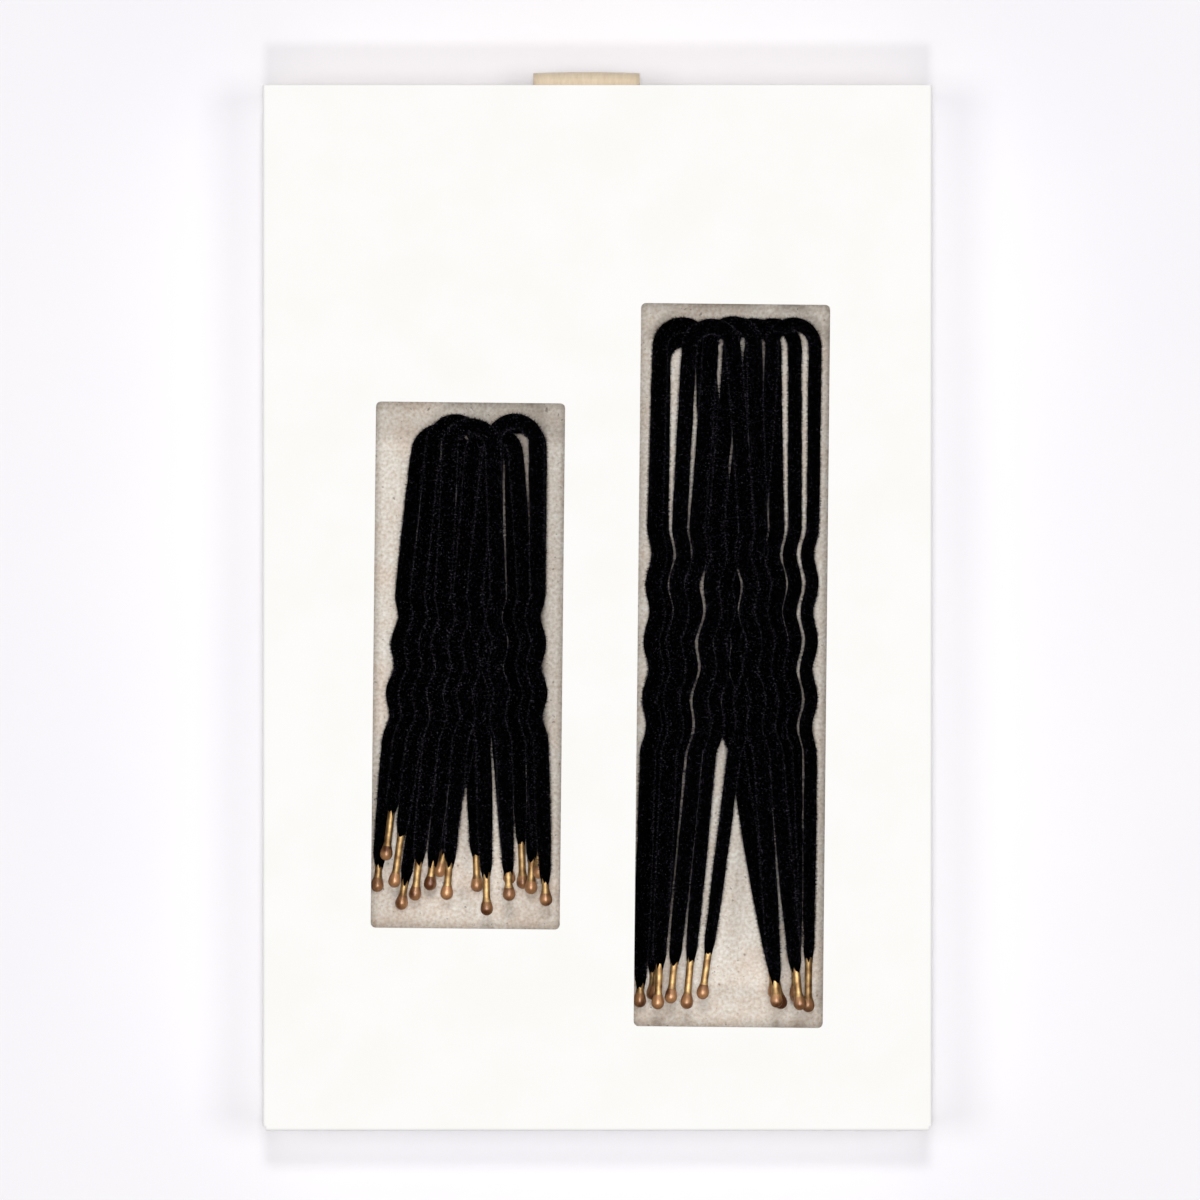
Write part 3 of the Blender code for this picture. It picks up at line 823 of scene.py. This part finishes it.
# %% Make the wires
# The top pin of each heap rides on a body of its own, and the others on the drawer
BODIES = {
    ("long", len(PINS["long"])): "top_long_pin",
    ("short", len(PINS["short"])): "top_short_pin",
}
pins = []
for kind, rows in PINS.items():
    for number, row in enumerate(rows, 1):
        label = f"{kind}_pin_{number}"
        plan, bare = pin_line(kind, row)
        line, up = laid_on(plan, label + "_wire")
        body = BODIES.get((kind, number), "drawer")
        make_wire(label + "_dipped_wire", label + "_wire", line, up, body)
        pins.append((label, line, up, bare, body, row[-1] * FLOCK_RADIUS))
print(len(pins), "wires")

# %% [markdown]
# ## The flock coat
#
# The coat is made twice. A tube with a lumpy surface gives the dense ground of the pile. Over
# it stand the fibres that make the soft outline: thin three-sided spikes, drawn a little
# coarser than the real ones so that they show. They lean at random and grow shorter and
# sparser where the coat ends and the bare wire comes out. A hair system could grow such a pile
# too, but spikes worked out as one array are plain faces, and are the same at each run.

# %% The ground of a coat
COAT_SIDES = 14
COAT_STEP = 0.30 * MM
COAT_LUMPS = 0.022 * MM
# Waves shorter than about these, counted per step of the grid, are left out of the lumps
WAVES_ALONG = 0.12
WAVES_ROUND = 0.3
STUBBLE = 0.20 * MM
TAPER = 0.8 * MM
RAGGED = 0.45 * MM
# Where a coat starts, it is this share of its full thickness over the wire
THINNEST = 0.15
# Towards its ends a coat gets thinner, where the glue ran off the wire before it was flocked
END_THINNING = 0.24
THINNING_LENGTH = 9.0 * MM
THINNING_POWER = 1.5
random = np.random.default_rng(7)


def coated_stretch(line, bare):
    """The part of a pin's line between its coat's stubbly ends, in even steps."""
    top = int(np.argmax(line[:, 1]))
    index = np.arange(len(line))
    end = np.where(index < top, *bare) - STUBBLE
    return even_steps(line[line[:, 1] >= end], COAT_STEP)


def lumps(rows, columns):
    """Smooth random unevenness: noise averaged along and round, by its Fourier waves."""
    waves = np.fft.rfft2(random.standard_normal((rows, columns)))
    along = np.abs(np.fft.fftfreq(rows))[:, None]
    around = np.fft.rfftfreq(columns)[None, :]
    waves *= np.exp(-((along / WAVES_ALONG) ** 2) - (around / WAVES_ROUND) ** 2)
    field = np.fft.irfft2(waves, (rows, columns))
    return field / field.std()


def coat_ground(label, path, up, coat_radius):
    """The lumpy tube of one pin's coat, its radius, and its directions outwards and ahead.

    The radius is r = wire + (coat n - wire) (0.15 + 0.85 sqrt(w)), where w is the way through
    the short taper at the nearer end, and n falls a little over the last 9 mm.
    """
    along = lengths(path)
    total = along[-1]
    from_end = np.minimum(along, total - along)
    near_end = 1 - np.clip(from_end / THINNING_LENGTH, 0, 1)
    thinning = 1 - END_THINNING * near_end**THINNING_POWER
    taper = np.clip((from_end - STUBBLE) / TAPER, 0, 1)
    share = THINNEST + (1 - THINNEST) * np.sqrt(taper)
    radius = WIRE_RADIUS + (coat_radius * thinning - WIRE_RADIUS) * share
    points, out, way = rings(path, up, radius, COAT_SIDES)
    points += out * (lumps(len(path), COAT_SIDES) * COAT_LUMPS * taper[:, None])[:, :, None]
    # Round each end the coat reaches further along the wire at some places than at others
    reach = random.uniform(-1, 1, (2, COAT_SIDES))[(along > total / 2).astype(int)]
    reach *= (RAGGED * np.exp(-from_end / TAPER) * np.sign(along - total / 2))[:, None]
    points += way[:, None] * reach[:, :, None]
    ground = closed_tube(label + "_coat", points, path, [flock])
    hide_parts(label + "_flock")
    return ground, radius, out, way


# %% The fibres on a coat
PILE_PER_MM2 = 44
PILE_LENGTH = 0.26 * MM
SHORTEST, LONGEST = 0.6, 1.25
PILE_WIDTH = 0.030 * MM
PILE_LEAN = 0.30
# A fibre's foot stands this deep in the ground, so that no gap shows under it
PILE_ROOT = 0.04 * MM
# Over this way from an end the pile grows from a quarter of its density and a third of its height
PILE_FADE = 1.3 * MM
END_DENSITY = 0.25
END_HEIGHT = 0.35
SPIKE_TURNS = (0, 2 * math.pi / 3, 4 * math.pi / 3)
SPIKE_FACES = np.array([[0, 1, 3], [1, 2, 3], [2, 0, 3], [0, 2, 1]])


def coat_pile(label, path, radius, out, way):
    """Spikes of three corners at p + r n and a tip at p + r n + h unit(n + a t + b (t x n)).

    p is a random place on the path, n points outwards, t ahead, and a and b are random.
    """
    total = lengths(path)[-1]
    count = int(total * 2 * math.pi * FLOCK_RADIUS / MM**2 * PILE_PER_MM2)
    place = random.uniform(0, total, count)
    fade = np.minimum(place, total - place) / PILE_FADE
    density = END_DENSITY + (1 - END_DENSITY) * np.clip(fade, 0, 1)
    kept = random.uniform(0, 1, count) < density
    place, fade = place[kept], fade[kept]
    count = len(place)
    turn = random.uniform(0, 2 * math.pi, count)[:, None]
    index = (place / total * (len(path) - 1)).astype(int)
    beside, ahead = out[index, 0], way[index]
    normal = np.cos(turn) * beside + np.sin(turn) * np.cross(beside, ahead)
    round_way = np.cross(ahead, normal)
    base = placed_along(path, place) + normal * (radius[index] - PILE_ROOT)[:, None]
    lean = normal + random.normal(0, PILE_LEAN, (count, 1)) * ahead
    lean = unit(lean + random.normal(0, PILE_LEAN, (count, 1)) * round_way)
    tall = PILE_LENGTH * random.uniform(SHORTEST, LONGEST, count) * np.clip(fade, END_HEIGHT, 1)
    corners = [
        base + PILE_WIDTH * (math.cos(a) * ahead + math.sin(a) * round_way) for a in SPIKE_TURNS
    ]
    spikes = np.stack([*corners, base + lean * tall[:, None]], 1).reshape(-1, 3)
    faces = (np.arange(count)[:, None, None] * 4 + SPIKE_FACES).reshape(-1, 3)
    return make_piece(label + "_pile", spikes, faces, [pile_fibre_with_glints], smooth=False), count


# %% Make the coats
fibre_count = 0
for label, line, up, bare, body, coat_radius in pins:
    path = coated_stretch(line, bare)
    ground, *surface = coat_ground(label, path, up, coat_radius)
    pile, count = coat_pile(label, path, *surface)
    fibre_count += count
    for piece in (ground, pile):
        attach(piece, body)
print(fibre_count, "flock fibres")

# %% [markdown]
# ## The ribbon
#
# ** Rayon grosgrain** is woven with thick cross threads, which give it fine ribs and a dull,
# silky look. The ribbon is doubled into a loop. Its ends are glued inside the tray's front
# wall. It goes out through the slit, bends down, and folds back on itself at its free end. The
# ribs run across it, so the surface rises and falls with the way along the band. A cloth
# simulation could bend it, but a given route meets the slit where it has to.

# %% Grosgrain
grosgrain, tree, shader, place = new_finish("rayon_grosgrain", "#E2D2B5", 0.7, Sheen_Weight=0.15)
threads = add_node(tree, "ShaderNodeMapping", {"Scale": (1.0, 0.2, 0.2)}, {"Vector": place})
shades = drifting(tree, threads.outputs["Vector"], 0.25 * MM, "#E1CDAF", "#EDDBC0", 0.2)
tree.links.new(shades, shader.inputs["Base Color"])


# %% The band's middle line
TRAY_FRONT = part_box("tray")[1][1]
GLUE = 0.1 * MM
# Inside, the ribbon's middle lies this far behind the front wall's outer face
INSIDE = 2 * TRAY_BOARD + GLUE + RIBBON_LAYER
GLUED_END = 5.0 * MM
INNER_BEND = 2 * RIBBON_LAYER
OUTER_BEND = 0.91 * MM
BEND_START = 0.49 * MM
HANGING_SHARE = 0.66
BEND_POINTS = 9
FOLD_POINTS = 10
ROUTE_STEP = 0.05 * MM
BAND_STEP = 0.06 * MM


def ribbon_route():
    """Middle line of the doubled band in (y, z): up inside, through the slit and down outside."""
    quarter = np.linspace(0, math.pi / 2, BEND_POINTS)
    inner = INNER_BEND * np.column_stack([1 - np.cos(quarter), np.sin(quarter) - 1])
    outer = OUTER_BEND * np.column_stack([np.sin(quarter), np.cos(quarter) - 1])
    glued = (-INSIDE, -GLUED_END)
    free = (BEND_START + OUTER_BEND, -HANGING_SHARE * SLIT_Z)
    line = np.vstack([glued, inner + (-INSIDE, 0.0), outer + (BEND_START, 0.0), free])
    return line + (TRAY_FRONT, SLIT_Z)


def directions(line):
    """The directions along and square to a line in the (y, z) plane."""
    way = unit(np.gradient(line, axis=0))
    return way, np.column_stack([-way[:, 1], way[:, 0]])


route = even_steps(ribbon_route(), ROUTE_STEP)
way, normal = directions(route)
outer = route + normal * RIBBON_LAYER / 2
inner = route - normal * RIBBON_LAYER / 2
turn = np.linspace(0, math.pi, FOLD_POINTS)[1:-1, None]
fold = route[-1] + RIBBON_LAYER / 2 * (np.cos(turn) * normal[-1] + np.sin(turn) * way[-1])
middle_line = even_steps(np.vstack([outer, fold, inner[::-1]]), BAND_STEP)
print("ribbon", round(lengths(middle_line)[-1] / MM, 1), "mm long")

# %% Make the ribbon
BAND_THICKNESS = 0.30 * MM
BAND_POINTS = 13
RIB_PITCH = 0.42 * MM
RIB_HEIGHT = 0.009 * MM
ARCHED_REACH = 0.10 * MM
ARCHED_FROM = 0.5 * MM

_, normal = directions(middle_line)
along = lengths(middle_line)
ribs = RIB_HEIGHT * (0.5 + 0.5 * np.cos(2 * math.pi * along / RIB_PITCH))
across = np.linspace(-0.5, 0.5, BAND_POINTS)
# The free end of the loop is slightly arched: the band's middle reaches out furthest
arched = ARCHED_REACH * (1 - (2 * across) ** 2)


def ribbon_side(sign):
    """One face of the band: its middle line moved out by half its thickness, less the hollows."""
    face = middle_line + sign * normal * (BAND_THICKNESS / 2 - RIB_HEIGHT + ribs)[:, None]
    grid = np.empty((len(face), len(across), 3))
    grid[:, :, 0] = RIBBON_X + across * RIBBON_WIDTH
    grid[:, :, 1] = face[:, :1] + arched * (face[:, :1] > TRAY_FRONT + ARCHED_FROM)
    grid[:, :, 2] = face[:, 1:]
    return grid


upper, lower = ribbon_side(1), ribbon_side(-1)
band = np.concatenate([upper, lower[:, ::-1]], axis=1)
rows, columns = band.shape[:2]
quads = grid_faces(rows, columns, True)
closing = []
for row in (0, rows - 1):
    here = row * columns + np.arange(BAND_POINTS - 1)
    there = row * columns + columns - 1 - np.arange(BAND_POINTS - 1)
    cap = np.stack([here, here + 1, there - 1, there], -1)
    closing.append(cap if row else cap[:, ::-1])
faces = np.vstack([quads[:, ::-1], *closing])
ribbon = make_piece("ribbon_pull", band, faces, [grosgrain])
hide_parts("ribbon_anchor", "ribbon_loop")
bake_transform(ribbon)

# %% [markdown]
# ## Floor, light and camera
#
# The box lies on white paper. Two lamps stand beyond its ends. Their light runs along the pins
# and down between them, and the windows' ends throw narrow bands of shade onto the wells. Two
# wide ones stand at its sides, so that the box softly shades the paper all round. A lamp close
# to the camera's line and an even fill do the rest. White paper throws much light back at the
# box's walls, and they onto the paper, so all but the seen rays meet a slightly greyer paper.
# The camera looks straight down from about a metre.

# %% White paper
def seen_rays(tree):
    """1 for rays that show a surface, to the camera, in a mirror or through glass, and else 0."""
    rays = add_node(tree, "ShaderNodeLightPath").outputs
    shown = rays["Is Camera Ray"]
    for kind in ("Is Glossy Ray", "Is Transmission Ray"):
        links = {0: shown, 1: rays[kind]}
        shown = add_node(tree, "ShaderNodeMath", links=links, operation="MAXIMUM").outputs[0]
    return shown


paper, tree, shader, place = new_finish("white_paper_sweep", "#F9F7FB", 0.9, Specular_IOR_Level=0.2)
shades = drifting(tree, place, 40 * MM, "#F8F6FA", "#FAF8FB")
shown = add_node(
    tree,
    "ShaderNodeMix",
    {"A": rgba("#E8E6EA")},
    {"Factor": seen_rays(tree), "B": shades},
    data_type="RGBA",
)
tree.links.new(shown.outputs["Result"], shader.inputs["Base Color"])
FLOOR_HALF = 1.5
corners = np.array([(-1, -1, 0), (1, -1, 0), (1, 1, 0), (-1, 1, 0)]) * FLOOR_HALF
floor = make_piece("paper_sweep", corners, [[0, 1, 2, 3]], [paper])


# %% Lamps and room
def soft_lamp(name, place, size, power):
    """A square area lamp that looks at the box."""
    data = bpy.data.lights.new(name, "AREA")
    data.shape = "SQUARE"
    data.size = size
    data.energy = power
    lamp = bpy.data.objects.new(name, data)
    lamp.location = place
    away = unit(np.array(place))
    lamp.rotation_euler = (math.acos(away[2]), 0.0, math.atan2(away[1], away[0]) + math.pi / 2)
    bpy.context.scene.collection.objects.link(lamp)


soft_lamp("top_end_lamp", (0.0, 0.39, 1.4), 0.14, 3.6)
soft_lamp("bottom_end_lamp", (0.0, -0.43, 1.4), 0.10, 2.8)
soft_lamp("left_lamp", (-0.50, 0.0, 1.4), 0.36, 3.3)
soft_lamp("right_lamp", (0.50, 0.0, 1.4), 0.36, 3.3)
soft_lamp("overhead_softbox", (0.0, 0.0, 1.9), 0.18, 10.3)

FILL = 0.12
world = bpy.data.worlds.new("studio")
world.use_nodes = True
room = world.node_tree
sky = room.nodes["Background"]
sky.inputs["Color"].default_value = rgba("#FFFFFF")
# The camera and shiny metal see a white room, and all else gets an even, weak fill from it
fill = add_node(
    room, "ShaderNodeMapRange", {"To Min": FILL, "To Max": 1.0}, {"Value": seen_rays(room)}
)
room.links.new(fill.outputs["Result"], sky.inputs["Strength"])
bpy.context.scene.world = world
bpy.context.scene.view_settings.view_transform = "Standard"

# %% Camera
FACE_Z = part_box("sleeve")[1][2]
SHOT_HEIGHT = 0.95
FRAME_WIDTH = 0.120
# The picture's middle lies slightly to the right of the box's middle, and above it
SHOT_X, SHOT_Y = 0.26 * MM, 0.80 * MM
shot = bpy.data.cameras.new("shot")
shot.sensor_width = 36.0
shot.lens = shot.sensor_width * SHOT_HEIGHT / FRAME_WIDTH
shot.clip_start = 0.05
camera = bpy.data.objects.new("shot", shot)
camera.location = (SHOT_X, SHOT_Y, FACE_Z + SHOT_HEIGHT)
bpy.context.scene.collection.objects.link(camera)
bpy.context.scene.camera = camera
